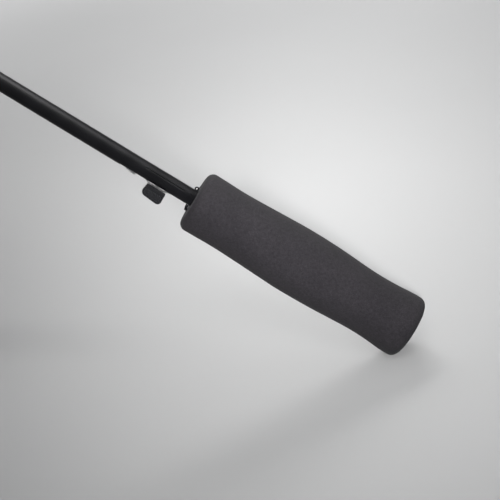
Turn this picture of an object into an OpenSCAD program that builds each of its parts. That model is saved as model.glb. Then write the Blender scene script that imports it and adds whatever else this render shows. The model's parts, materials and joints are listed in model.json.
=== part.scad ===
// Automatic stick umbrella, open, leaning on the end of its grip and on two rib tips.
// Every part is drawn in the umbrella's own frame: +Z runs up the shaft from the grip's
// end face, +X is the underside of the leaning shaft. lay() then leans it on the floor.
// Millimetres and degrees throughout.

/* [Grip] */
// Length of the foam grip
grip_len = 147.5; // [120:0.5:180]
// Bore of the foam, which is the outside of the plastic core
core_d = 15; // [13:0.5:18]
// Rounding of the grip's closed end
end_round = 4.5; // [3:0.5:8]
// Rounding of the grip's mouth
mouth_round = 4.5; // [2:0.5:6]

/* [Shaft] */
// Outside diameter of the steel tube
shaft_d = 10; // [8:0.5:12]
// Wall of the steel tube
shaft_wall = 0.6; // [0.5:0.1:1]
// Height of the rib hinges above the grip's end face
notch_z = 765; // [740:5:790]
// Length of the ferrule above the canopy
ferrule_len = 62; // [50:1:80]

/* [Release] */
// Turn of the release button around the shaft from its underside
button_turn = 28.5; // [0:0.5:45]
// Height of the spring's pivot pin above the grip's end face
pin_z = 149.1; // [149:0.1:151]
// Length of the button cap along the shaft
button_len = 13.4; // [12:0.1:14]
// Height of the middle of the button cap
button_z = 169.3; // [168:0.1:170]
// Height of the cap's top above the shaft's axis
button_top = 14; // [13:0.1:15]
// Width of the button cap
button_w = 8.4; // [7:0.1:9]

/* [Ribs] */
// Number of ribs
rib_count = 8; // [8:1:8]
// Length of a rib from its hinge to the middle of its tip
rib_len = 575; // [560:5:590]
// Distance along the rib from its hinge to the stretcher's rivet
rivet_at = 250; // [240:5:260]
// Bend of the rib between its rivet and its tip
rib_bend = 20; // [16:1:22]
// Angle between the shaft and a rib when open
open_angle = 74; // [70:1:76]
// Length of a stretcher between its pivots
stretcher_len = 274; // [270:1:280]
// Distance of the rib hinges from the shaft's axis
hub_r = 10; // [10:0.5:12]
// Distance of the runner's wire from the shaft's axis
crown_r = 11; // [11:0.5:12]

/* [Canopy] */
// Thickness of the cloth's solid
cloth_t = 0.4; // [0.3:0.1:1]
// Depth of the scallop in the hem between two tips
scallop = 26; // [10:1:35]
// Dip of the cloth between two ribs
cloth_dip = 5; // [0:1:10]

/* [Hidden] */
$fn = 48;
eps = 0.01;
step = 360 / rib_count;
half = step / 2;
shaft_r = shaft_d / 2;
bore_r = shaft_r - shaft_wall;
run_gap = 0.08;
pin_gap = 0.05;

// Rib channel, seen along the rib: hinge line at the origin, web towards the cloth
rib_w = 3.4;
rib_wall = 0.5;
web_in = 1.9;
web_out = web_in + rib_wall;
lip = -1.2;
wire_r = 0.8;
rivet_r = 0.8;
tip_r = 3;
tip_cap_len = 12;
bend_r = (rib_len - rivet_at) / (rib_bend * PI / 180);
tip_x = rivet_at + bend_r * sin(rib_bend);
tip_drop = bend_r * (1 - cos(rib_bend));

// The linkage, solved for the open umbrella
rivet_r_open = hub_r + rivet_at * sin(open_angle);
rivet_z_open = notch_z - rivet_at * cos(open_angle);
stretch_angle = asin((rivet_r_open - crown_r) / stretcher_len);
runner_z = rivet_z_open - stretcher_len * cos(stretch_angle);

// Lean of the shaft at which the grip and two rib tips touch the floor together
grip_stations = [[0, 19.2], [9, 19.2], [20, 18.4], [31, 18.1], [42, 18.5], [54, 19.2], [66, 19.65],
                 [80, 19.8], [94, 19.3], [108, 18.7], [124, 18.2], [138, 18.45], [grip_len, 18.5]];
end_r = 19.2;
tip_ring_r = hub_r + tip_x * sin(open_angle) - tip_drop * cos(open_angle);
tip_ring_z = notch_z - tip_x * cos(open_angle) - tip_drop * sin(open_angle);
lean_a = tip_ring_z - end_round;
lean_b = tip_ring_r * cos(half) - (end_r - end_round);
lean = atan2(lean_b, lean_a) - asin((end_round - tip_r) / norm([lean_a, lean_b]));
floor_z = -end_round * sin(lean) + (end_r - end_round) * cos(lean) + end_round;
right_x = -end_round * cos(lean) + (end_r - end_round) * sin(lean) + end_round;
left_x = tip_ring_z * cos(lean) + tip_ring_r * cos(half) * sin(lean) + tip_r;
mid_x = (left_x - right_x) / 2;

module lay() {
    translate([mid_x, 0, floor_z])
        rotate([0, lean - 90, 0])
            rotate([0, 0, 180])
                children();
}

module at_rib(n) {
    lay() rotate([0, 0, half + (n - 1) * step]) children();
}

module rib_frame(n) {
    at_rib(n)
        translate([hub_r, 0, notch_z])
            rotate([0, 90 - open_angle, 0])
                children();
}

module stretcher_frame(n) {
    at_rib(n)
        translate([rivet_r_open, 0, rivet_z_open])
            rotate([0, 90 + stretch_angle, 0])
                children();
}

module button_side() {
    lay() rotate([0, 0, button_turn]) children();
}

module cross_pin(r, h) {
    rotate([90, 0, 0]) cylinder(r = r, h = h, center = true);
}

module tube(r_out, r_in, h) {
    difference() {
        cylinder(r = r_out, h = h);
        translate([0, 0, -1]) cylinder(r = r_in, h = h + 2);
    }
}

module wire_ring(mid_r, r) {
    side = 2 * mid_r * tan(half);
    for (n = [0:rib_count - 1]) {
        rotate([0, 0, half + n * step]) {
            translate([mid_r, 0, 0]) cross_pin(r, side);
            translate([mid_r, side / 2, 0]) sphere(r = r + 0.1, $fn = 24);
        }
    }
}

// ---- Grip -------------------------------------------------------------------------

// Slope of the outline at a station, and the smooth outline between two stations
function station_slope(k) = k == 0 || k == len(grip_stations) - 1 ? 0
    : (grip_stations[k + 1][1] - grip_stations[k - 1][1])
        / (grip_stations[k + 1][0] - grip_stations[k - 1][0]);
function grip_radius(z, k = 0) =
    z > grip_stations[k + 1][0] && k < len(grip_stations) - 2 ? grip_radius(z, k + 1)
    : let (a = grip_stations[k], b = grip_stations[k + 1], h = b[0] - a[0], t = (z - a[0]) / h)
      (1 + 2 * t) * pow(1 - t, 2) * a[1] + t * t * (3 - 2 * t) * b[1]
          + h * t * pow(1 - t, 2) * station_slope(k) - h * t * t * (1 - t) * station_slope(k + 1);

module foam_grip() {
    flat_r = 9;
    floor_t = 12;
    mouth_r = grip_stations[len(grip_stations) - 1][1];
    outline = concat(
        [[0, 0], [flat_r, 0]],
        [for (a = [-80:20:0])
            [end_r - end_round + end_round * cos(a), end_round + end_round * sin(a)]],
        [for (z = [9:4:grip_len - mouth_round - 2]) [grip_radius(z), z]],
        [for (a = [0:15:90])
            [mouth_r - mouth_round + mouth_round * cos(a),
             grip_len - mouth_round + mouth_round * sin(a)]],
        [[core_d / 2, grip_len], [core_d / 2, floor_t], [0, floor_t]]);
    color([0.20, 0.19, 0.20])
        lay() rotate_extrude($fn = 96) polygon(outline);
}

module grip_core() {
    z0 = 22;
    notch_w = 4;
    color([0.12, 0.12, 0.13]) {
        difference() {
            lay() translate([0, 0, z0]) tube(core_d / 2, shaft_r + run_gap, grip_len - z0);
            button_side()
                translate([0, -notch_w / 2, pin_z - 8]) cube([core_d, notch_w, 20]);
        }
    }
}

module core_plug() {
    z0 = 12;
    color([0.12, 0.12, 0.13]) {
        lay() translate([0, 0, z0]) cylinder(r = core_d / 2, h = 10);
        lay() translate([0, 0, z0 + 10]) cylinder(r = shaft_r + run_gap, h = 8);
    }
}

// ---- Shaft and release ------------------------------------------------------------

slot_w = 3.6;
slot_low = pin_z - 6;
slot_high = 194;
shaft_low = 30;
shaft_high = notch_z + 34;

module shaft_tube() {
    groove_turn = 101.5;
    groove_low = 153.9;
    groove_len = 27.7;
    groove_w = 0.9;
    groove_depth = 0.3;
    color([0.05, 0.05, 0.055]) {
        difference() {
            lay() translate([0, 0, shaft_low]) tube(shaft_r, bore_r, shaft_high - shaft_low);
            button_side()
                translate([0, -slot_w / 2, slot_low]) cube([shaft_d, slot_w, slot_high - slot_low]);
            button_side()
                translate([0, 0, pin_z]) rotate([0, 90, 0])
                    cylinder(r = 0.85 + pin_gap, h = 2 * shaft_d, center = true);
            button_side() rotate([0, 0, groove_turn])
                translate([shaft_r - groove_depth, -groove_w / 2, groove_low])
                    cube([2, groove_w, groove_len]);
            lay() translate([0, 0, notch_pin_z]) cross_pin(0.9 + pin_gap, 2 * shaft_d);
        }
    }
}

// Split pin with its eye above the shaft and its two legs spread below it
module split_pin() {
    leg_r = 0.85;
    eye_r = 0.85;
    eye_at = -5.95;
    pin_end = 8.2;
    color([0.10, 0.10, 0.11]) {
        button_side() translate([0, 0, pin_z]) {
            translate([eye_at, 0, 0]) rotate([90, 0, 0])
                rotate_extrude() translate([eye_r, 0]) circle(r = 0.35, $fn = 24);
            translate([eye_at + eye_r, 0, 0]) rotate([0, 90, 0])
                cylinder(r = leg_r, h = pin_end - eye_at - eye_r);
            translate([pin_end - 0.6, 0, 0]) cross_pin(0.6, 2.8);
        }
    }
}

// Side view of the sprung steel strip: [height along the shaft, distance from the axis]
leaf_t = 0.8;
leaf_w = 3;
tooth_low = 183.6;
tooth_high = 190.8;
tooth_top = shaft_r + 0.8;

module leaf_spring() {
    strip = [[pin_z - 4, 3.6], [pin_z - 4, 4.4], [160.6, 4.6], [164.6, 5.8], [174.2, 5.8],
             [178.2, 4.6], [tooth_low, 4.6], [tooth_low + 0.4, tooth_top],
             [tooth_low + 2.6, tooth_top], [tooth_high, 4.8], [191.4, 4.6], [192.5, 4.5],
             [192.5, 3.8], [178.4, 3.8], [174.4, 5], [164.4, 5], [160.4, 3.8]];
    color([0.72, 0.72, 0.70]) {
        difference() {
            button_side()
                rotate([90, 0, 0])
                    linear_extrude(height = leaf_w, center = true)
                        polygon([for (p = strip) [p[1], p[0]]]);
            button_side()
                translate([0, 0, pin_z]) rotate([0, 90, 0])
                    cylinder(r = 1.15, h = shaft_d);
            button_side()
                translate([0, 0, button_z]) rotate([0, 90, 0])
                    cylinder(r = 0.75, h = shaft_d);
        }
    }
}

// Moulded cap: a rounded box with a stepped foot, ribs on its face and a hollow underside
module button_cap() {
    round_r = 3.2;
    foot_h = 5.9;
    step_h = 8.6;
    press = 1.4;
    half_l = button_len / 2;
    color([0.045, 0.045, 0.05]) {
        difference() {
            button_side() translate([0, 0, button_z]) {
                rotate([90, 0, 0]) linear_extrude(height = button_w, center = true)
                    difference() {
                        union() {
                            translate([foot_h, -half_l]) square([step_h - foot_h, button_len]);
                            translate([foot_h, -half_l + 0.5])
                                square([button_top - round_r - foot_h, button_len - 1]);
                            for (side = [-1, 1])
                                translate([button_top - round_r, side * (half_l - 0.5 - round_r)])
                                    circle(r = round_r);
                            translate([foot_h, -half_l + 0.5 + round_r])
                                square([button_top - foot_h, button_len - 1 - 2 * round_r]);
                        }
                        for (k = [-2:2])
                            translate([button_top + 0.25, k * 1.7]) circle(r = 0.5, $fn = 16);
                    }
            }
            button_side() translate([press, 0, button_z - 10])
                difference() {
                    cylinder(r = shaft_r + 0.35, h = 20);
                    translate([0, -1.4, -1]) cube([20, 2.8, 22]);
                }
            button_side() translate([leaf_t + shaft_r - 1, 0, button_z]) rotate([0, 90, 0])
                cylinder(r = 0.75, h = 4);
        }
    }
}

module button_rivet() {
    color([0.6, 0.6, 0.6]) {
        button_side() translate([shaft_r - 0.5, 0, button_z]) rotate([0, 90, 0])
            cylinder(r = 1.2, h = 0.5);
        button_side() translate([shaft_r, 0, button_z]) rotate([0, 90, 0])
            cylinder(r = 0.7, h = 3.7);
    }
}

// ---- Runner -----------------------------------------------------------------------

sleeve_low = -63;
crown_low = -5;
crown_high = 5;
sleeve_r = 8.5;
chamber_r = 7.3;
chamber_low = -40;

module runner_sleeve() {
    window_low = -60.8;
    window_high = -52.2;
    window_w = 4.4;
    color([0.05, 0.05, 0.055]) {
        difference() {
            lay() translate([0, 0, runner_z]) rotate_extrude($fn = 64)
                polygon([[shaft_r + run_gap, sleeve_low], [8, sleeve_low], [8.5, sleeve_low + 0.5],
                         [sleeve_r, crown_low], [chamber_r, crown_low], [chamber_r, chamber_low],
                         [shaft_r + run_gap, chamber_low]]);
            button_side()
                translate([0, -window_w / 2, runner_z + window_low])
                    cube([20, window_w, window_high - window_low]);
        }
    }
}

module runner_ring() {
    color([0.7, 0.7, 0.7])
        lay() translate([0, 0, runner_z - 14]) tube(sleeve_r + 0.5, sleeve_r, 6);
}

module runner_crown() {
    slot = 3.2;
    slot_in = 8.7;
    color([0.05, 0.05, 0.055]) {
        difference() {
            lay() translate([0, 0, runner_z + crown_low])
                tube(13.6, shaft_r + run_gap, crown_high - crown_low);
            for (n = [1:rib_count])
                at_rib(n) translate([slot_in, -slot / 2, runner_z + crown_low - 1])
                    cube([10, slot, crown_high - crown_low + 2]);
        }
    }
}

module runner_wire() {
    color([0.7, 0.7, 0.7]) lay() translate([0, 0, runner_z]) wire_ring(crown_r, 0.7);
}

// Compression spring around the shaft inside the sleeve
spring_turns = 9;
spring_r = 6.2;
spring_wire_r = 0.55;
spring_low = chamber_low + 0.8;
spring_rise = (crown_low - chamber_low - 1.6) / spring_turns;
ring_sides = 6;
turn_steps = 16;

function spring_ring(k) =
    let (a = 360 * k / turn_steps, z = spring_low + spring_rise * k / turn_steps)
    [for (s = [0:ring_sides - 1])
        let (b = 360 * s / ring_sides, r = spring_r + spring_wire_r * cos(b))
        [r * cos(a), r * sin(a), z + spring_wire_r * sin(b)]];

module main_spring() {
    last = spring_turns * turn_steps;
    points = [for (k = [0:last]) each spring_ring(k)];
    sides = [for (k = [0:last - 1]) for (s = [0:ring_sides - 1])
        let (a = k * ring_sides + s, b = k * ring_sides + (s + 1) % ring_sides)
        each [[a, a + ring_sides, b], [b, a + ring_sides, b + ring_sides]]];
    caps = [[for (s = [0:ring_sides - 1]) s],
            [for (s = [ring_sides - 1:-1:0]) last * ring_sides + s]];
    color([0.6, 0.6, 0.62])
        lay() translate([0, 0, runner_z])
            polyhedron(points = points, faces = concat(sides, caps));
}

// ---- Top notch, cap and ferrule ---------------------------------------------------

notch_high = 6;
notch_low = -5;
notch_r = 13;
neck_r = 8;
neck_high = 12;
notch_pin_z = notch_z + 8;

module top_notch() {
    slot = 3;
    slot_in = 7.7;
    color([0.05, 0.05, 0.055]) {
        difference() {
            lay() translate([0, 0, notch_z + notch_low])
                tube(notch_r, shaft_r, neck_high - notch_low);
            lay() translate([0, 0, notch_z + notch_high])
                tube(notch_r + 1, neck_r, neck_high);
            for (n = [1:rib_count])
                at_rib(n) translate([slot_in, -slot / 2, notch_z + notch_low - 1])
                    cube([10, slot, notch_high - notch_low + 2]);
            lay() translate([0, 0, notch_pin_z]) cross_pin(0.9 + pin_gap, 40);
        }
    }
}

module notch_wire() {
    color([0.7, 0.7, 0.7]) lay() translate([0, 0, notch_z]) wire_ring(hub_r, wire_r);
}

module notch_pin() {
    color([0.7, 0.7, 0.7]) lay() translate([0, 0, notch_pin_z]) cross_pin(0.9, 2 * neck_r);
}

// Shallow dome around the notch's neck that covers the middle of the canopy
module top_cap() {
    color([0.05, 0.05, 0.055])
        lay() translate([0, 0, notch_z]) rotate_extrude($fn = 64)
            polygon([[neck_r + pin_gap, notch_high + 0.4], [13.4, notch_high + 0.4], [22, 1.4],
                     [22.7, 1.9], [22, 3.2], [14.5, 8.6], [11, 11], [9.6, 11.8],
                     [neck_r + pin_gap, neck_high - 0.1]]);
}

washer_z = notch_z + neck_high;
washer_t = 1;

module washer() {
    color([0.08, 0.08, 0.09])
        lay() translate([0, 0, washer_z]) tube(11.5, shaft_r + run_gap, washer_t);
}

ferrule_z = washer_z + washer_t;
ferrule_tip_r = 4;
ferrule_tip_len = 24;

module ferrule() {
    top = ferrule_z + ferrule_len;
    tip_low = top - ferrule_tip_len;
    bore_top = shaft_high + 0.5;
    color([0.05, 0.05, 0.055])
        lay() rotate_extrude($fn = 64)
            polygon([[shaft_r + run_gap, ferrule_z], [8.6, ferrule_z], [8.6, ferrule_z + 2],
                     [7.6, ferrule_z + 4], [6.4, tip_low - 3], [5, tip_low], [ferrule_tip_r, tip_low],
                     [ferrule_tip_r, top - 2], [3.4, top - 0.6], [2.4, top], [0, top],
                     [0, bore_top], [shaft_r + run_gap, bore_top]]);
}

// ---- Ribs, stretchers and tips ----------------------------------------------------

module rib_channel() {
    difference() {
        translate([-rib_w / 2, lip]) square([rib_w, web_out - lip]);
        translate([-rib_w / 2 + rib_wall, lip - 1]) square([rib_w - 2 * rib_wall, web_in - lip + 1]);
    }
}

module rib(n) {
    root = 7;
    arc = rib_bend * (1 - (tip_cap_len - 4) / (rib_len - rivet_at));
    eye_w = rib_w - 2 * rib_wall;
    color([0.11, 0.11, 0.12]) rib_frame(n) {
        difference() {
            union() {
                translate([root, 0, 0]) rotate([90, 0, 90])
                    linear_extrude(height = rivet_at - root) rib_channel();
                translate([0, eye_w / 2, 0]) rotate([90, 0, 0]) cylinder(r = 1.9, h = eye_w);
                translate([0, -eye_w / 2, -0.9]) cube([root + 5, eye_w, web_in + 0.9 + eps]);
            }
            cross_pin(wire_r + pin_gap, 10);
        }
        translate([rivet_at, 0, -bend_r]) rotate([90, -90, 0]) rotate([0, 0, 180 - arc])
            rotate_extrude(angle = arc, $fn = 360)
                translate([-bend_r, 0]) rotate([0, 0, 90]) rib_channel();
        translate([rivet_at, 0, 0]) {
            cross_pin(rivet_r, rib_w + 0.6);
            for (side = [-1, 1])
                translate([0, side * (rib_w / 2 + 0.3), 0]) cross_pin(1.4, 0.6);
        }
    }
}

module stretcher(n) {
    plate_w = 1.8;
    plate_len = 21;
    bar = 2.6;
    bar_wall = 0.6;
    color([0.06, 0.06, 0.065]) stretcher_frame(n) {
        difference() {
            union() {
                cross_pin(1.5, plate_w);
                translate([stretcher_len, 0, 0]) cross_pin(2, plate_w);
                for (x = [0, stretcher_len - plate_len])
                    translate([x, -plate_w / 2, -1]) cube([plate_len, plate_w, 2]);
                translate([plate_len - 1, 0, 0]) rotate([90, 0, 90])
                    linear_extrude(height = stretcher_len - 2 * plate_len + 2)
                        difference() {
                            square(bar, center = true);
                            translate([0, -bar_wall])
                                square([bar - 2 * bar_wall, bar], center = true);
                        }
            }
            cross_pin(rivet_r + pin_gap, 4);
            translate([stretcher_len, 0, 0]) cross_pin(1.05, 4);
        }
    }
}

// Moulded tip: a socket over the rib's end with a ball, which is what meets the floor
module rib_tip(n) {
    color([0.05, 0.05, 0.055]) rib_frame(n)
        translate([tip_x, 0, -tip_drop]) rotate([0, 90 + rib_bend, 0]) {
            sphere(r = tip_r, $fn = 32);
            translate([0, 0, -8]) cylinder(r = 2.2, h = 8);
        }
}

// ---- Canopy -----------------------------------------------------------------------

cloth_gap = 0.8;
rows = 12;
cols = 8;
cloth_start = 9;
cloth_end = rib_len - 3;

// A point of the cloth over a rib, at length l from its hinge: [radius, height]
function along(l) = l < rivet_at ? [l, 0]
    : let (a = (l - rivet_at) / bend_r * 180 / PI)
      [rivet_at + bend_r * sin(a), -bend_r * (1 - cos(a))];
function slope(l) = l < rivet_at ? 0 : (l - rivet_at) / bend_r * 180 / PI;
function over_rib(l, lift) =
    let (p = along(l) + lift * [sin(slope(l)), cos(slope(l))])
    [hub_r + p[0] * sin(open_angle) + p[1] * cos(open_angle),
     notch_z - p[0] * cos(open_angle) + p[1] * sin(open_angle)];

// t runs from the hub to the hem, w from -1 to 1 across the gore
function cloth_point(t, w, lift) =
    let (across = 1 - pow(1 - abs(w), 2),
         hem = cloth_end - scallop * across,
         l = cloth_start + (hem - cloth_start) * t,
         p = over_rib(l, lift),
         a = w * (half - 0.02 - asin(0.2 / p[0])),
         r = p[0] * cos(half) / cos(half - abs(a)),
         dip = cloth_dip * across * sin(180 * min(1, t * 0.9)))
    [r * cos(a), r * sin(a), p[1] - dip];

module canopy(n) {
    lift = web_out + cloth_gap;
    across = cols + 1;
    layer = (rows + 1) * across;
    points = [for (side = [0, 1]) for (k = [0:rows]) for (c = [0:cols])
        cloth_point(k / rows, 2 * c / cols - 1, lift + side * cloth_t)];
    cell = function (k, c) k * across + c;
    under = [for (k = [0:rows - 1]) for (c = [0:cols - 1])
        each [[cell(k, c), cell(k + 1, c), cell(k + 1, c + 1)],
              [cell(k, c), cell(k + 1, c + 1), cell(k, c + 1)]]];
    over = [for (f = under) [f[2] + layer, f[1] + layer, f[0] + layer]];
    border = concat([for (c = [0:cols]) cell(0, c)], [for (k = [1:rows]) cell(k, cols)],
                    [for (c = [cols - 1:-1:0]) cell(rows, c)], [for (k = [rows - 1:-1:1]) cell(k, 0)]);
    edge = [for (e = [0:len(border) - 1])
        let (a = border[e], b = border[(e + 1) % len(border)])
        each [[a, b, b + layer], [a, b + layer, a + layer]]];
    color([0.10, 0.10, 0.115])
        at_rib(n) polyhedron(points = points, faces = concat(under, over, edge));
}

// Closing strap, sewn to the hem beside a tip and lying up the inside of the cloth
module tie_strap() {
    strap_lift = web_out - 1;
    strap_t = 1;
    from_hem = 0.78;
    near_rib = 0.14;
    far_side = 0.215;
    steps = 8;
    layer = 2 * (steps + 1);
    points = [for (side = [0, 1]) for (k = [0:steps]) for (w = [near_rib, far_side])
        cloth_point(from_hem + (0.985 - from_hem) * k / steps, w, strap_lift + side * strap_t)];
    under = [for (k = [0:steps - 1])
        each [[2 * k, 2 * k + 2, 2 * k + 3], [2 * k, 2 * k + 3, 2 * k + 1]]];
    over = [for (f = under) [f[2] + layer, f[1] + layer, f[0] + layer]];
    border = concat([0, 1], [for (k = [1:steps]) 2 * k + 1], [for (k = [steps:-1:1]) 2 * k]);
    edge = [for (e = [0:len(border) - 1])
        let (a = border[e], b = border[(e + 1) % len(border)])
        each [[a, b, b + layer], [a, b + layer, a + layer]]];
    color([0.12, 0.12, 0.13])
        at_rib(3) polyhedron(points = points, faces = concat(under, over, edge));
}

foam_grip();
grip_core();
core_plug();
shaft_tube();
split_pin();
leaf_spring();
button_cap();
button_rivet();
runner_sleeve();
runner_crown();
runner_wire();
runner_ring();
main_spring();
top_notch();
notch_wire();
notch_pin();
washer();
top_cap();
ferrule();
tie_strap();
for (n = [1:rib_count]) {
    rib(n);
    stretcher(n);
    rib_tip(n);
    canopy(n);
}
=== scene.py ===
"""Looks for an open automatic stick umbrella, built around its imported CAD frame.

Lengths inside the umbrella's own frame are millimetres: z runs up the shaft from the
grip's end face, x points to the underside of the leaning shaft.
"""

import json
import math

import bmesh
import bpy
from mathutils import Matrix, Vector, noise


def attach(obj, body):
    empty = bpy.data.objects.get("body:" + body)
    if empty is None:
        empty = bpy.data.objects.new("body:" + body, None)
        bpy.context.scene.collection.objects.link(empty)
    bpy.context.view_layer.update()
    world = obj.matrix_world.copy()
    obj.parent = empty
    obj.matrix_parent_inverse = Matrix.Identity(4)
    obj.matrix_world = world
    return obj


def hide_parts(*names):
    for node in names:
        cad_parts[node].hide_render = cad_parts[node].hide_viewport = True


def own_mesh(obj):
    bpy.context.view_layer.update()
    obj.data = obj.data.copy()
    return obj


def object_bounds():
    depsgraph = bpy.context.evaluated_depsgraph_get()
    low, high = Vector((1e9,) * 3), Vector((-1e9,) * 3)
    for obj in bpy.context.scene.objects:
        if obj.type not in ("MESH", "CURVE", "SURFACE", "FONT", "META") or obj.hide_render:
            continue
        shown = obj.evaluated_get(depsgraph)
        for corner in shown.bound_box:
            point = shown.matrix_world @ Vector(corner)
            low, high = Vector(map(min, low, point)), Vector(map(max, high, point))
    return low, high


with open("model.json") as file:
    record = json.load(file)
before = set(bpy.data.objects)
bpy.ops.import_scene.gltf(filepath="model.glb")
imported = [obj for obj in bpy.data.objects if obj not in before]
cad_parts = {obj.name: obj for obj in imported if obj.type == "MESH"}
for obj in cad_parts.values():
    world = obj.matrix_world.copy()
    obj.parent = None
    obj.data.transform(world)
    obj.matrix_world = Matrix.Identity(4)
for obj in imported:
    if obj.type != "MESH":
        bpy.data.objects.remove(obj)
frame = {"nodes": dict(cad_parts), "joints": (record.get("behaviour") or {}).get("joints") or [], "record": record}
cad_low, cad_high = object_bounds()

MM = 0.001
record = frame["record"]
mounts = {m["name"]: m for m in record["mounts"]}
joints = {j["name"]: j for j in frame["joints"]}
nodes = frame["nodes"]

# ---- The umbrella's own frame, from the record --------------------------------------

grip_end = Vector(mounts["grip_end"]["pos_m"])
up_shaft = -Vector(mounts["grip_end"]["axis"]).normalized()
underside = Vector((-up_shaft.z, 0, up_shaft.x)).normalized()
sideways = up_shaft.cross(underside)
RIB_COUNT = 8
HALF = math.pi / RIB_COUNT


def frame_matrix(origin, x, y, z):
    """Millimetres in a local frame to metres in the row's frame."""
    m = Matrix((x, y, z)).transposed().to_4x4()
    return Matrix.Translation(origin) @ m @ Matrix.Scale(MM, 4)


UMBRELLA = frame_matrix(grip_end, underside, sideways, up_shaft)


def turned(angle):
    """The umbrella's frame, turned about its shaft."""
    return UMBRELLA @ Matrix.Rotation(angle, 4, "Z")


def rib_angle(n):
    """Rib 1 stands half a gore from the underside, so that two tips touch the floor."""
    return HALF + (n - 1) * 2 * HALF


pivot = UMBRELLA.inverted() @ Vector(joints["release_press"]["pos_m"])
PIN_Z = pivot.z
BUTTON = turned(math.atan2(pivot.y, pivot.x))
rib_hinge = UMBRELLA.inverted() @ Vector(joints["rib_fold_1"]["pos_m"])
HUB_R = math.hypot(rib_hinge.x, rib_hinge.y)
NOTCH_Z = rib_hinge.z
rivet = UMBRELLA.inverted() @ Vector(joints["stretcher_fold_1"]["pos_m"])
rivet_out = math.hypot(rivet.x, rivet.y) - HUB_R
RIVET_AT = math.hypot(rivet_out, NOTCH_Z - rivet.z)
OPEN_ANGLE = math.atan2(rivet_out, NOTCH_Z - rivet.z)
RIB_LEN = 575
RIB_BEND = math.radians(20)
BEND_R = (RIB_LEN - RIVET_AT) / RIB_BEND

# ---- Mesh helpers --------------------------------------------------------------------


def add_mesh(name, points, faces, place, material, smooth_angle=35):
    """A piece whose points are given in a local frame and kept in the row's frame."""
    mesh = bpy.data.meshes.new(name)
    mesh.from_pydata([place @ Vector(p) for p in points], [], faces)
    mesh.validate()
    build = bmesh.new()
    build.from_mesh(mesh)
    bmesh.ops.recalc_face_normals(build, faces=build.faces)
    build.to_mesh(mesh)
    build.free()
    piece = bpy.data.objects.new(name, mesh)
    bpy.context.scene.collection.objects.link(piece)
    mesh.materials.append(material)
    mesh.shade_smooth()
    mesh.set_sharp_from_angle(angle=math.radians(smooth_angle))
    return piece


def ring_faces(rings, sides, closed_ring=True):
    """Quads that join rings of points, each with the same number of sides."""
    faces = []
    for k in range(rings - 1):
        for s in range(sides if closed_ring else sides - 1):
            a, b = k * sides + s, k * sides + (s + 1) % sides
            faces.append((a, b, b + sides, a + sides))
    return faces


def lathe(name, outline, place, material, sides=96, shape=None, smooth_angle=35):
    """A solid of revolution about z. The outline is (radius, z) from axis to axis or closed."""
    rings = [p for p in outline if p[0] > 1e-6]
    points, start_pole, end_pole = [], outline[0][0] <= 1e-6, outline[-1][0] <= 1e-6
    for radius, z in rings:
        for s in range(sides):
            a = 2 * math.pi * s / sides
            r = radius if shape is None else shape(radius, a, z)
            points.append((r * math.cos(a), r * math.sin(a), z))
    faces = ring_faces(len(rings), sides)
    last = (len(rings) - 1) * sides
    if start_pole:
        points.append((0, 0, outline[0][1]))
        faces += [(len(points) - 1, (s + 1) % sides, s) for s in range(sides)]
    if end_pole:
        points.append((0, 0, outline[-1][1]))
        faces += [(len(points) - 1, last + s, last + (s + 1) % sides) for s in range(sides)]
    if not start_pole and not end_pole:
        faces += [(last + s, last + (s + 1) % sides, (s + 1) % sides, s) for s in range(sides)]
    return add_mesh(name, points, faces, place, material, smooth_angle)


def arc(cx, cy, radius, start, end, steps):
    """Points on an arc, from one angle in degrees to another."""
    angles = [math.radians(start + (end - start) * k / steps) for k in range(steps + 1)]
    return [(cx + radius * math.cos(a), cy + radius * math.sin(a)) for a in angles]


def extrude(name, outline, width, place, material):
    """An outline of (x, z) points with a thickness of width along y, centred."""
    count = len(outline)
    points = [(x, side * width / 2, z) for side in (-1, 1) for x, z in outline]
    faces = [tuple(range(count)), tuple(range(2 * count - 1, count - 1, -1))]
    faces += [(k, (k + 1) % count, (k + 1) % count + count, k + count) for k in range(count)]
    return add_mesh(name, points, faces, place, material)


def wire(name, path, radius, place, material):
    """A round wire along a smooth path of points, with flat ends."""
    sides = 16
    path = [Vector(p) for p in path]
    count = len(path)
    points, normal = [], None
    for k, here in enumerate(path):
        after = path[min(k + 1, count - 1)]
        before = path[max(k - 1, 0)]
        tangent = (after - before).normalized()
        if normal is None:
            normal = tangent.orthogonal().normalized()
        normal = (normal - tangent * normal.dot(tangent)).normalized()
        other = tangent.cross(normal)
        for s in range(sides):
            a = 2 * math.pi * s / sides
            points.append(here + radius * (normal * math.cos(a) + other * math.sin(a)))
    faces = ring_faces(count, sides)
    faces += [tuple(range(sides)), tuple(range(count * sides - 1, (count - 1) * sides - 1, -1))]
    return add_mesh(name, points, faces, place, material)


def apply_modifiers(piece):
    """Turns the piece's modifiers into plain mesh."""
    bpy.context.view_layer.objects.active = piece
    for modifier in list(piece.modifiers):
        with bpy.context.temp_override(object=piece, active_object=piece):
            bpy.ops.object.modifier_apply(modifier=modifier.name)
    return piece


def bevelled(piece, width, segments):
    """Rounds the piece's edges, by a width in millimetres."""
    modifier = piece.modifiers.new("edge", "BEVEL")
    modifier.width = width * MM
    modifier.segments = segments
    modifier.limit_method = "ANGLE"
    modifier.angle_limit = math.radians(35)
    apply_modifiers(piece)
    piece.data.set_sharp_from_angle(angle=math.radians(50))
    return piece


def join(piece, other):
    """Adds the other's shape to the piece and removes the other."""
    modifier = piece.modifiers.new("join", "BOOLEAN")
    modifier.operation = "UNION"
    modifier.solver = "EXACT"
    modifier.object = other
    apply_modifiers(piece)
    bpy.data.objects.remove(other)
    return piece


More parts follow.
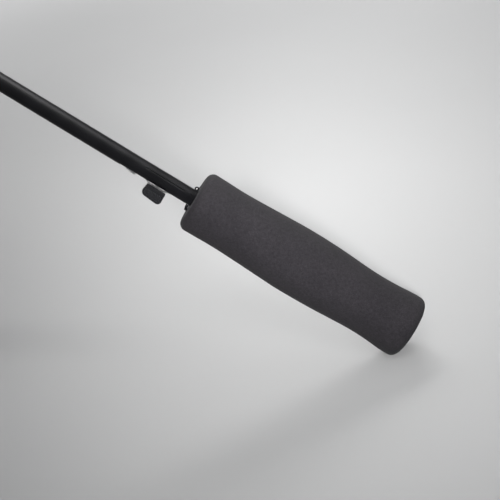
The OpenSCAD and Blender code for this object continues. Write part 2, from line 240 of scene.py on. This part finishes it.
def cut(piece, cutter):
    """Takes the cutter's shape out of the piece and removes the cutter."""
    modifier = piece.modifiers.new("cut", "BOOLEAN")
    modifier.operation = "DIFFERENCE"
    modifier.solver = "EXACT"
    modifier.object = cutter
    apply_modifiers(piece)
    bpy.data.objects.remove(cutter)
    piece.data.set_sharp_from_angle(angle=math.radians(35))
    return piece


# ---- Materials -----------------------------------------------------------------------


def new_material(name, **values):
    """A Principled material with those socket values. An underscore stands for a space."""
    material = bpy.data.materials.new(name)
    material.use_nodes = True
    shader = material.node_tree.nodes["Principled BSDF"]
    for socket, value in values.items():
        shader.inputs[socket.replace("_", " ")].default_value = value
    return material, material.node_tree, shader


def node(tree, kind, inputs=None, **settings):
    """A shader node, with its inputs linked or set."""
    made = tree.nodes.new(kind)
    for key, value in settings.items():
        setattr(made, key, value)
    for key, value in (inputs or {}).items():
        if isinstance(value, bpy.types.NodeSocket):
            tree.links.new(value, made.inputs[key])
        else:
            made.inputs[key].default_value = value
    return made


def noise_field(tree, scale, detail=3.0, roughness=0.5, stretch=None):
    """Noise in the piece's own coordinates. Scale is in waves per metre."""
    place = node(tree, "ShaderNodeTexCoord").outputs["Object"]
    if stretch:
        place = node(tree, "ShaderNodeMapping", {"Vector": place, "Scale": stretch}).outputs[0]
    made = node(tree, "ShaderNodeTexNoise",
                {"Vector": place, "Scale": scale, "Detail": detail, "Roughness": roughness})
    return made.outputs["Fac"]


def colour_range(tree, factor, stops):
    """A colour ramp. Each stop is (place, colour)."""
    made = node(tree, "ShaderNodeValToRGB", {"Fac": factor})
    ramp = made.color_ramp
    while len(ramp.elements) < len(stops):
        ramp.elements.new(0.5)
    for element, (at, colour) in zip(ramp.elements, stops):
        element.position = at
        element.color = (*colour, 1)
    return made.outputs["Color"]


def spread(tree, factor, low, high, to_low, to_high):
    """Maps one range of values to another."""
    return node(tree, "ShaderNodeMapRange", {"Value": factor, "From Min": low, "From Max": high,
                                             "To Min": to_low, "To Max": to_high}).outputs[0]


def multiplied(tree, first, second, amount):
    """One colour multiplied by another, by that much."""
    mixed = node(tree, "ShaderNodeMix", data_type="RGBA", blend_type="MULTIPLY")
    mixed.inputs["Factor"].default_value = amount
    tree.links.new(first, mixed.inputs[6])
    tree.links.new(second, mixed.inputs[7])
    return mixed.outputs[2]


def bump(tree, height, strength, distance, below=None):
    """A normal from a height, laid over the one below. Distance is in millimetres."""
    inputs = {"Height": height, "Strength": strength, "Distance": distance * MM}
    if below:
        inputs["Normal"] = below
    return node(tree, "ShaderNodeBump", inputs).outputs["Normal"]


def foam_material():
    """Closed-cell EVA foam: matt charcoal skin, fine open pores, faint cloudy patches."""
    material, tree, shader = new_material("eva_foam", Specular_IOR_Level=0.15)
    shader.inputs["Sheen Weight"].default_value = 0.02
    shader.inputs["Sheen Roughness"].default_value = 0.55
    clouds = noise_field(tree, 55, 4)
    grain = noise_field(tree, 2600, 2, 0.7)
    mottle = noise_field(tree, 620, 4, 0.75)
    place = node(tree, "ShaderNodeTexCoord").outputs["Object"]
    cells = node(tree, "ShaderNodeTexVoronoi", {"Vector": place, "Scale": 1500.0},
                 feature="DISTANCE_TO_EDGE").outputs["Distance"]
    pores = spread(tree, cells, 0.0, 0.12, 0.0, 1.0)
    base = colour_range(tree, clouds, [(0.3, (0.0194, 0.0181, 0.0202)),
                                       (0.7, (0.0245, 0.0228, 0.0252))])
    speck = colour_range(tree, grain, [(0.34, (0.55, 0.55, 0.56)), (0.62, (1, 1, 1)),
                                       (0.80, (1.45, 1.42, 1.46))])
    patch = colour_range(tree, mottle, [(0.32, (0.72, 0.70, 0.72)), (0.5, (1, 1, 1)),
                                        (0.68, (1.32, 1.28, 1.32))])
    colour = multiplied(tree, multiplied(tree, base, speck, 0.75), patch, 0.8)
    tree.links.new(colour, shader.inputs["Base Color"])
    tree.links.new(spread(tree, clouds, 0.3, 0.7, 0.80, 0.90), shader.inputs["Roughness"])
    soft = bump(tree, clouds, 0.2, 0.5)
    middle = bump(tree, mottle, 0.18, 0.18, soft)
    fine = bump(tree, grain, 0.28, 0.10, middle)
    tree.links.new(bump(tree, pores, 0.2, 0.05, fine), shader.inputs["Normal"])
    return material


def coated_steel_material(name, base, rough):
    """Satin powder coat on steel: slight orange peel, softly uneven gloss."""
    material, tree, shader = new_material(name, Specular_IOR_Level=0.2)
    patches = noise_field(tree, 90, 3)
    peel = noise_field(tree, 1400, 2)
    low = tuple(c * 0.8 for c in base)
    high = tuple(c * 1.25 for c in base)
    colour = colour_range(tree, patches, [(0.3, low), (0.7, high)])
    tree.links.new(colour, shader.inputs["Base Color"])
    tree.links.new(spread(tree, patches, 0.3, 0.7, rough - 0.04, rough + 0.06),
                   shader.inputs["Roughness"])
    tree.links.new(bump(tree, peel, 0.10, 0.05), shader.inputs["Normal"])
    return material


def plastic_material(name, base, rough):
    """Moulded plastic with a fine spark-eroded grain."""
    material, tree, shader = new_material(name, Specular_IOR_Level=0.5)
    grain = noise_field(tree, 2200, 3, 0.6)
    patches = noise_field(tree, 120, 2)
    low = tuple(c * 0.85 for c in base)
    high = tuple(c * 1.2 for c in base)
    tree.links.new(colour_range(tree, patches, [(0.3, low), (0.7, high)]),
                   shader.inputs["Base Color"])
    tree.links.new(spread(tree, grain, 0.3, 0.7, rough - 0.05, rough + 0.08),
                   shader.inputs["Roughness"])
    tree.links.new(bump(tree, grain, 0.15, 0.04), shader.inputs["Normal"])
    return material


def bright_steel_material():
    """Nickel-plated spring steel with fine rolling lines."""
    material, tree, shader = new_material("bright_steel", Metallic=1.0)
    lines = noise_field(tree, 900, 3, 0.6, (1.0, 6.0, 1.0))
    patches = noise_field(tree, 200, 3)
    tree.links.new(colour_range(tree, patches, [(0.3, (0.50, 0.50, 0.49)), (0.7, (0.68, 0.68, 0.66))]),
                   shader.inputs["Base Color"])
    tree.links.new(spread(tree, lines, 0.3, 0.7, 0.22, 0.38), shader.inputs["Roughness"])
    tree.links.new(bump(tree, lines, 0.12, 0.03), shader.inputs["Normal"])
    return material


def cloth_material(name, base):
    """Black pongee: a fine plain weave with crossing threads and a soft sheen."""
    material, tree, shader = new_material(name, Specular_IOR_Level=0.3)
    shader.inputs["Sheen Weight"].default_value = 0.28
    shader.inputs["Sheen Roughness"].default_value = 0.4
    shader.inputs["Sheen Tint"].default_value = (0.5, 0.5, 0.56, 1)
    place = node(tree, "ShaderNodeTexCoord").outputs["Object"]
    threads = []
    for turn in (0.0, math.pi / 2):
        turned_place = node(tree, "ShaderNodeMapping",
                            {"Vector": place, "Rotation": (0.55, turn, 0.35)}).outputs[0]
        threads.append(node(tree, "ShaderNodeTexWave",
                            {"Vector": turned_place, "Scale": 420.0, "Distortion": 0.6,
                             "Detail": 1.0, "Detail Scale": 3.0}).outputs["Fac"])
    weave = node(tree, "ShaderNodeMath", {0: threads[0], 1: threads[1]},
                 operation="MULTIPLY").outputs[0]
    patches = noise_field(tree, 9, 4)
    low = tuple(c * 0.8 for c in base)
    high = tuple(c * 1.3 for c in base)
    tree.links.new(colour_range(tree, patches, [(0.3, low), (0.7, high)]),
                   shader.inputs["Base Color"])
    tree.links.new(spread(tree, weave, 0.0, 1.0, 0.62, 0.50), shader.inputs["Roughness"])
    soft = bump(tree, patches, 0.3, 1.5)
    tree.links.new(bump(tree, weave, 0.25, 0.08, soft), shader.inputs["Normal"])
    return material


FOAM = foam_material()
SHAFT_COAT = coated_steel_material("shaft_coat", (0.0034, 0.0034, 0.0040), 0.34)
RIB_COAT = coated_steel_material("rib_coat", (0.020, 0.020, 0.022), 0.34)
CAP_PLASTIC = plastic_material("cap_plastic", (0.007, 0.007, 0.008), 0.26)
HUB_PLASTIC = plastic_material("hub_plastic", (0.015, 0.015, 0.016), 0.42)
GRIP_PLASTIC = plastic_material("grip_plastic", (0.02, 0.02, 0.022), 0.5)
STEEL = bright_steel_material()
CLOTH = cloth_material("pongee", (0.022, 0.022, 0.026))
TAPE = cloth_material("woven_tape", (0.034, 0.034, 0.038))

# ---- Finishes of the CAD nodes that stay ---------------------------------------------

KEPT = {
    "grip_core": GRIP_PLASTIC, "core_plug": GRIP_PLASTIC, "button_rivet": STEEL,
    "runner_sleeve": HUB_PLASTIC, "runner_crown": HUB_PLASTIC, "runner_wire": STEEL,
    "runner_ring": STEEL, "main_spring": STEEL, "top_notch": HUB_PLASTIC,
    "notch_wire": STEEL, "notch_pin": STEEL, "washer": CAP_PLASTIC, "top_cap": HUB_PLASTIC,
    "ferrule": HUB_PLASTIC,
}
for n in range(1, RIB_COUNT + 1):
    KEPT[f"rib_{n}"] = RIB_COAT
    KEPT[f"rib_tip_{n}"] = CAP_PLASTIC
    KEPT[f"stretcher_{n}"] = RIB_COAT
for name, material in KEPT.items():
    mesh = nodes[name].data
    mesh.materials.clear()
    mesh.materials.append(material)

# ---- Grip ----------------------------------------------------------------------------

GRIP_LEN = 147.5
CORE_R = 7.5
GRIP_END_R = 19.2
END_ROUND = 4.5
MOUTH_ROUND = 4.5
# Thickness of the foam's closed end
FOAM_FLOOR = 12.05
# Play between the foam's bore and its core
BORE_PLAY = 0.05
# (height, radius) along the grip
GRIP_STATIONS = [(0, 19.2), (9, 19.2), (20, 18.4), (31, 18.1), (42, 18.5), (54, 19.2), (66, 19.65),
                 (80, 19.8), (94, 19.3), (108, 18.7), (124, 18.2), (138, 18.45), (GRIP_LEN, 18.5)]


def station_slope(k):
    """How fast the grip's radius grows at a station: level at both ends."""
    if k in (0, len(GRIP_STATIONS) - 1):
        return 0
    (z0, r0), (z1, r1) = GRIP_STATIONS[k - 1], GRIP_STATIONS[k + 1]
    return (r1 - r0) / (z1 - z0)


def grip_radius(z):
    """A smooth outline through the stations."""
    k = max(i for i in range(len(GRIP_STATIONS) - 1) if GRIP_STATIONS[i][0] <= z)
    (z0, r0), (z1, r1) = GRIP_STATIONS[k], GRIP_STATIONS[k + 1]
    length = z1 - z0
    t = (z - z0) / length
    return ((1 + 2 * t) * (1 - t) ** 2 * r0 + t * t * (3 - 2 * t) * r1
            + length * t * (1 - t) ** 2 * station_slope(k)
            - length * t * t * (1 - t) * station_slope(k + 1))


def foam_grip():
    """Turned foam with soft rounded ends and the slight unevenness of ground foam."""
    mouth_r = GRIP_STATIONS[-1][1]
    outline = [(0, 0), (3, 0), (6, 0), (9, 0)]
    outline += arc(GRIP_END_R - END_ROUND, END_ROUND, END_ROUND, -84, 0, 14)
    outline += [(grip_radius(z), z) for z in range(6, 143)]
    outline += arc(mouth_r - MOUTH_ROUND, GRIP_LEN - MOUTH_ROUND, MOUTH_ROUND, 3, 90, 14)
    outline += [(r, GRIP_LEN) for r in (12, 10)] + [(CORE_R + 0.6, GRIP_LEN)]
    bore_r = CORE_R + BORE_PLAY
    outline += [(bore_r, GRIP_LEN - 0.5), (bore_r, FOAM_FLOOR), (0, FOAM_FLOOR)]

    def uneven(radius, angle, z):
        if radius < 10:
            return radius
        place = Vector((math.cos(angle) * 1.1, math.sin(angle) * 1.1, z / 26))
        return radius + 0.07 * noise.noise(place) + 0.025 * noise.noise(place * 5)

    piece = lathe("foam_grip_skin", outline, UMBRELLA, FOAM, 160, uneven, 60)
    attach(piece, "shaft")
    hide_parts("foam_grip")


foam_grip()

# ---- Shaft ---------------------------------------------------------------------------

SHAFT_R = 5
SHAFT_WALL = 0.6
# Inside the grip
SHAFT_LOW = 30
SHAFT_HIGH = NOTCH_Z + 34
SLOT_W = 3.6
SLOT_HIGH = 194
CREASE_TURN = math.radians(101.5)
CREASE_LOW, CREASE_HIGH = 153.9, 181.6


def box_cutter(name, low, high, place):
    """A box between two corners."""
    xs, ys, zs = zip(low, high)
    points = [(x, y, z) for x in xs for y in ys for z in zs]
    faces = [(0, 1, 3, 2), (4, 6, 7, 5), (0, 4, 5, 1), (2, 3, 7, 6), (0, 2, 6, 4), (1, 5, 7, 3)]
    return add_mesh(name, points, faces, place, SHAFT_COAT)


def shaft_tube():
    """Drawn steel tube with the release slot, the pin's hole and a stamped crease."""
    heights = [SHAFT_LOW + (SHAFT_HIGH - SHAFT_LOW) * k / 60 for k in range(61)]
    outline = [(SHAFT_R, z) for z in heights] + [(SHAFT_R - SHAFT_WALL, z) for z in reversed(heights)]
    piece = lathe("shaft_skin", outline, UMBRELLA, SHAFT_COAT, 96)
    slot = box_cutter("slot_cutter", (0, -SLOT_W / 2, PIN_Z - 6), (12, SLOT_W / 2, SLOT_HIGH), BUTTON)
    cut(piece, slot)
    hole_outline = [(0, -12), (0.95, -12), (0.95, 12), (0, 12)]
    across = BUTTON @ Matrix.Translation((0, 0, PIN_Z)) @ Matrix.Rotation(math.pi / 2, 4, "Y")
    cut(piece, lathe("hole_cutter", hole_outline, across, SHAFT_COAT, 32))
    crease_place = (BUTTON @ Matrix.Rotation(CREASE_TURN, 4, "Z")
                    @ Matrix.Translation((SHAFT_R + 0.5, 0, 0)))
    crease_outline = [(0, CREASE_LOW), (0.5, CREASE_LOW + 0.4), (0.8, CREASE_LOW + 1.7),
                      (0.8, CREASE_HIGH - 1.7), (0.5, CREASE_HIGH - 0.4), (0, CREASE_HIGH)]
    cut(piece, lathe("crease_cutter", crease_outline, crease_place, SHAFT_COAT, 24))
    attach(piece, "shaft")
    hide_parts("shaft_tube")


shaft_tube()


def split_pin():
    """A wire bent double: an eye on one side, and legs bent towards the mouth on the other."""
    wire_r = 0.40
    gap = 0.42
    eye_x = -5.95
    eye_r = 0.85
    leg_end = 8.2
    loop = []
    for turn in range(270, -1, -15):
        a = math.radians(-45 - turn)
        loop.append((eye_x + eye_r * math.cos(a), 0, PIN_Z + eye_r * math.sin(a)))
    first = [(leg_end, 0, PIN_Z - 0.1), (leg_end - 0.9, 0, PIN_Z), (6.2, 0, PIN_Z + gap)]
    last = [(x, y, z - 2 * gap) for x, y, z in reversed(first)]
    upper = [(x, 0, PIN_Z + gap) for x in (5, 2, -1, -4, -5)]
    lower = [(x, 0, PIN_Z - gap) for x in (-5, -4, -1, 2, 5)]
    piece = wire("split_pin_wire", first + upper + loop + lower + last, wire_r, BUTTON, SHAFT_COAT)
    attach(piece, "shaft")
    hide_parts("split_pin")


split_pin()

# ---- Release -------------------------------------------------------------------------

BUTTON_Z = 169.3
BUTTON_W = 8.4
# Room that the cap's saddle leaves for the button to go in
BUTTON_PRESS = 1.4
LEAF_T = 0.8
LEAF_W = 3.0


def leaf_spring():
    """Bent strip: (distance from the axis, height) of its outer face, thickened inwards."""
    outer = [(4.4, PIN_Z - 4), (4.6, PIN_Z + 3), (4.65, 160), (5.1, 162.4), (5.6, 164),
             (5.8, 165.2), (5.8, 173.8), (5.6, 175), (5.1, 176.4), (4.65, 178.2), (4.6, 180)]
    inner = [(x - LEAF_T, z) for x, z in outer]
    tooth = [(4.6, 183.6), (5.75, 184.0), (5.75, 186.0), (5.4, 188), (4.8, 190.8), (4.5, 192.5)]
    under = (3.8, 192.5)
    outline = outer + tooth + [under] + list(reversed(inner))
    piece = bevelled(extrude("leaf_spring_strip", outline, LEAF_W, BUTTON, STEEL), 0.12, 2)
    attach(piece, "release")
    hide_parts("leaf_spring")


leaf_spring()


def rounded(corners, steps=8):
    """An outline with its corners filleted. Each corner is (x, z, radius)."""
    outline = []
    for k, (x, z, radius) in enumerate(corners):
        here = Vector((x, z))
        before = (Vector(corners[k - 1][:2]) - here).normalized()
        after = (Vector(corners[(k + 1) % len(corners)][:2]) - here).normalized()
        half = before.angle(after) / 2
        start = here + before * radius / math.tan(half)
        end = here + after * radius / math.tan(half)
        centre = here + (before + after).normalized() * radius / math.sin(half)
        for step in range(steps + 1):
            point = start.lerp(end, step / steps)
            outline.append(tuple(centre + (point - centre).normalized() * radius))
    return outline


def button_cap():
    """Moulded block on a wider foot, hollowed where it straddles the shaft."""
    place = BUTTON @ Matrix.Translation((0, 0, BUTTON_Z))
    block = rounded([(5.9, -6.3, 0.3), (14.1, -6.6, 2.4), (12.9, 7.0, 3.0), (5.9, 5.6, 0.3)])
    cap = bevelled(extrude("button_cap_block", block, BUTTON_W - 1.2, place, CAP_PLASTIC), 0.9, 4)
    foot = rounded([(5.95, -6.2, 0.3), (8.4, -6.6, 0.8), (8.4, 6.2, 0.8), (5.95, 5.6, 0.3)], 4)
    foot = bevelled(extrude("button_cap_foot", foot, BUTTON_W, place, CAP_PLASTIC), 0.4, 3)
    join(cap, foot)
    pad = rounded([(8.9, -5.0, 1.0), (12.6, -5.0, 1.6), (11.8, 5.3, 1.6), (8.9, 4.8, 1.0)], 6)
    for side in (-1, 1):
        aside = place @ Matrix.Translation((0, side * (BUTTON_W / 2 - 0.6), 0))
        join(cap, bevelled(extrude("button_cap_pad", pad, 0.5, aside, CAP_PLASTIC), 0.2, 2))
    saddle = BUTTON @ Matrix.Translation((BUTTON_PRESS, 0, 0))
    groove = [(0, BUTTON_Z - 9), (SHAFT_R + 0.35, BUTTON_Z - 9), (SHAFT_R + 0.35, BUTTON_Z + 9),
              (0, BUTTON_Z + 9)]
    cut(cap, lathe("saddle_cutter", groove, saddle, CAP_PLASTIC, 64))
    cap.data.set_sharp_from_angle(angle=math.radians(40))
    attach(cap, "release")
    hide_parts("button_cap")


button_cap()

# ---- Canopy --------------------------------------------------------------------------

CLOTH_START = 9
CLOTH_END = RIB_LEN - 3
SCALLOP = 26
CLOTH_DIP = 5
# Above the rib's centre line
CLOTH_LIFT = 2.4 + 0.8
# Thickness where the cloth is doubled, at the hem and along the rib, and the single cloth's share
CLOTH_DOUBLED = 0.55
CLOTH_SINGLE = 0.45


def over_rib(length, lift):
    """(radius, height) of a point above a rib, at that length from its hinge."""
    slope = max(0.0, (length - RIVET_AT) / BEND_R)
    x = min(length, RIVET_AT) + BEND_R * math.sin(slope) + lift * math.sin(slope)
    drop = BEND_R * (1 - math.cos(slope)) - lift * math.cos(slope)
    return (HUB_R + x * math.sin(OPEN_ANGLE) - drop * math.cos(OPEN_ANGLE),
            NOTCH_Z - x * math.cos(OPEN_ANGLE) - drop * math.sin(OPEN_ANGLE))


def cloth_point(t, w, side, lift=CLOTH_LIFT):
    """t runs from the hub to the hem, w from the rib to the middle of the gore."""
    across = 1 - (1 - w) ** 2
    length = CLOTH_START + (CLOTH_END - SCALLOP * across - CLOTH_START) * t
    radius, height = over_rib(length, lift)
    angle = w * HALF
    radius *= math.cos(HALF) / math.cos(HALF - angle)
    dip = CLOTH_DIP * across * math.sin(math.pi * min(1, t * 0.9))
    pull = math.sin(math.pi * w) * t ** 4 * math.sin(16 * w + 5 * t)
    ease = math.sin(math.pi * w) ** 2 * math.sin(math.pi * t) * math.sin(9 * t + 4 * w)
    return (radius * math.cos(side * angle), radius * math.sin(side * angle),
            height - dip + 1.1 * pull + 0.7 * ease)


def fold_beside_rib(piece):
    """Gives the piece its own copy of its mesh data."""
    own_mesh(piece)


def canopy_half(n, side):
    """Half of a gore, from its rib to the gore's middle, with a doubled hem."""
    rows, cols = 90, 20
    name = f"canopy_{n}_{'left' if side < 0 else 'right'}"
    points = [cloth_point(k / rows, c / cols, side) for k in range(rows + 1) for c in range(cols + 1)]
    faces = ring_faces(rows + 1, cols + 1, False)
    piece = add_mesh(name, points, faces, turned(rib_angle(n)), CLOTH, 60)
    hem = piece.vertex_groups.new(name="hem")
    hem_rows = range((rows - 1) * (cols + 1), (rows + 1) * (cols + 1))
    seam_points = [k * (cols + 1) for k in range(rows + 1)]
    for i in range(len(points)):
        hem.add([i], 1.0 if i in hem_rows else CLOTH_SINGLE, "REPLACE")
    hem.add(seam_points, 1.0, "REPLACE")
    solid = piece.modifiers.new("thickness", "SOLIDIFY")
    solid.thickness = CLOTH_DOUBLED * MM
    solid.offset = 0
    solid.vertex_group = "hem"
    apply_modifiers(piece)
    body = f"rib_{n}_arm"
    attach(piece, body)
    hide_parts(f"canopy_{n}")
    fold_beside_rib(piece)


for n in range(1, RIB_COUNT + 1):
    for side in (-1, 1):
        canopy_half(n, side)


STRAP_RIB = 3
STRAP_FROM, STRAP_TO = 0.78, 0.985
STRAP_NEAR, STRAP_FAR = 0.14, 0.215
STRAP_LIFT = 1.9
STRAP_T = 0.9


def tie_strap():
    """Woven closing strap with raised selvedges and a sewn end, up the inside of the cloth."""
    rows, cols = 60, 8
    points = []
    for k in range(rows + 1):
        t = STRAP_FROM + (STRAP_TO - STRAP_FROM) * k / rows
        for c in range(cols + 1):
            w = STRAP_NEAR + (STRAP_FAR - STRAP_NEAR) * c / cols
            edge = 0.12 if c in (0, cols) else 0
            stitch = 0.10 * (0.5 + 0.5 * math.cos(2 * math.pi * k / 3)) if k > rows - 9 else 0
            points.append(cloth_point(t, w, 1, STRAP_LIFT + edge - stitch))
    piece = add_mesh("tie_strap_tape", points, ring_faces(rows + 1, cols + 1, False),
                     turned(rib_angle(STRAP_RIB)), TAPE, 60)
    solid = piece.modifiers.new("thickness", "SOLIDIFY")
    solid.thickness = STRAP_T * MM
    solid.offset = 0
    apply_modifiers(piece)
    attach(piece, f"rib_{STRAP_RIB}_arm")
    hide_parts("tie_strap")
    fold_beside_rib(piece)


tie_strap()

# ---- Floor, lights and camera --------------------------------------------------------

# Half the floor's width, in metres
FLOOR = 60


def floor():
    """A plain pale floor, wide enough to hide its edge."""
    points = [(-FLOOR, -FLOOR, 0), (FLOOR, -FLOOR, 0), (FLOOR, FLOOR, 0), (-FLOOR, FLOOR, 0)]
    mesh = bpy.data.meshes.new("floor")
    mesh.from_pydata(points, [], [(0, 1, 2, 3)])
    piece = bpy.data.objects.new("floor", mesh)
    bpy.context.scene.collection.objects.link(piece)
    material, tree, shader = new_material("paper_floor", Roughness=0.85)
    tone = colour_range(tree, noise_field(tree, 3, 2),
                        [(0.3, (0.41, 0.41, 0.41)), (0.7, (0.43, 0.43, 0.43))])
    tree.links.new(tone, shader.inputs["Base Color"])
    mesh.materials.append(material)
    piece.location.z = cad_low.z
    piece.visible_diffuse = False


floor()

# The camera looks at the grip from the side, a little above it
AIM_Z = 104.5
AIM_OFF = 8.5
DISTANCE = 1.0
# For a sensor 36 mm wide
LENS = 124.56
# How steeply the shaft crosses the picture
SLOPE = math.radians(31.1)
AZIMUTH = math.radians(15.3)
ELEVATION = math.radians(25)


def photo_camera():
    """A camera that sees the shaft cross the picture at that slope. Returns its target."""
    toward = Vector((math.sin(AZIMUTH) * math.cos(ELEVATION),
                     -math.cos(AZIMUTH) * math.cos(ELEVATION), math.sin(ELEVATION)))
    along = (up_shaft - toward * up_shaft.dot(toward)).normalized()
    below = toward.cross(along)
    right = -math.cos(SLOPE) * along - math.sin(SLOPE) * below
    up = math.sin(SLOPE) * along - math.cos(SLOPE) * below
    aim = UMBRELLA @ Vector((0, 0, AIM_Z)) + below * AIM_OFF * MM
    data = bpy.data.cameras.new("camera")
    data.sensor_width = 36
    data.lens = LENS
    data.clip_start, data.clip_end = 0.05, 50
    camera = bpy.data.objects.new("camera", data)
    bpy.context.scene.collection.objects.link(camera)
    rotation = Matrix((right, up, toward)).transposed().to_4x4()
    camera.matrix_world = Matrix.Translation(aim + toward * DISTANCE) @ rotation
    bpy.context.scene.camera = camera
    return aim


aim = photo_camera()


def around(azimuth, elevation, distance, centre):
    """A place seen from the centre at those angles, in degrees."""
    a, e = math.radians(azimuth), math.radians(elevation)
    away = Vector((math.sin(a) * math.cos(e), -math.cos(a) * math.cos(e), math.sin(e)))
    return centre + distance * away


def add_light(name, kind, place, look_at, power, **settings):
    """A light at a place, turned towards another."""
    data = bpy.data.lights.new(name, kind)
    data.energy = power
    for key, value in settings.items():
        setattr(data, key, value)
    lamp = bpy.data.objects.new(name, data)
    bpy.context.scene.collection.objects.link(lamp)
    lamp.location = place
    lamp.rotation_mode = "QUATERNION"
    lamp.rotation_quaternion = (Vector(look_at) - Vector(place)).to_track_quat("-Z", "Y")
    return lamp


# The floor is brightest a hand's length behind the grip
pool = Vector((aim.x - 0.014, aim.y + 0.210, cad_low.z))
pool_lamp = add_light("pool", "SPOT", around(12, 25, 2.3, pool), pool, 645,
                      spot_size=math.radians(9.1), spot_blend=1.0, shadow_soft_size=0.15)
pool_lamp.visible_glossy = False
key = add_light("key", "SUN", around(12, 50, 1.8, aim), aim, 0.9,
                angle=math.radians(24))
key.visible_glossy = False
add_light("back", "AREA", around(196, 40, 2.2, aim), aim, 36,
          shape="RECTANGLE", size=1.6, size_y=0.7)
top_lamp = add_light("top", "AREA", around(195, 82, 0.9, aim), aim, 22,
                     shape="RECTANGLE", size=1.1, size_y=0.7)
top_lamp.visible_diffuse = False
inside = UMBRELLA @ Vector((0, 0, NOTCH_Z - 180))
add_light("inside", "SPOT", around(75, 18, 1.7, inside), inside, 300,
          spot_size=math.radians(27), spot_blend=1.0, shadow_soft_size=0.2)

world = bpy.data.worlds.new("studio")
world.use_nodes = True
world.node_tree.nodes["Background"].inputs["Color"].default_value = (0.95, 0.97, 1.0, 1)
world.node_tree.nodes["Background"].inputs["Strength"].default_value = 0.28
bpy.context.scene.world = world
bpy.context.scene.view_settings.view_transform = "Standard"
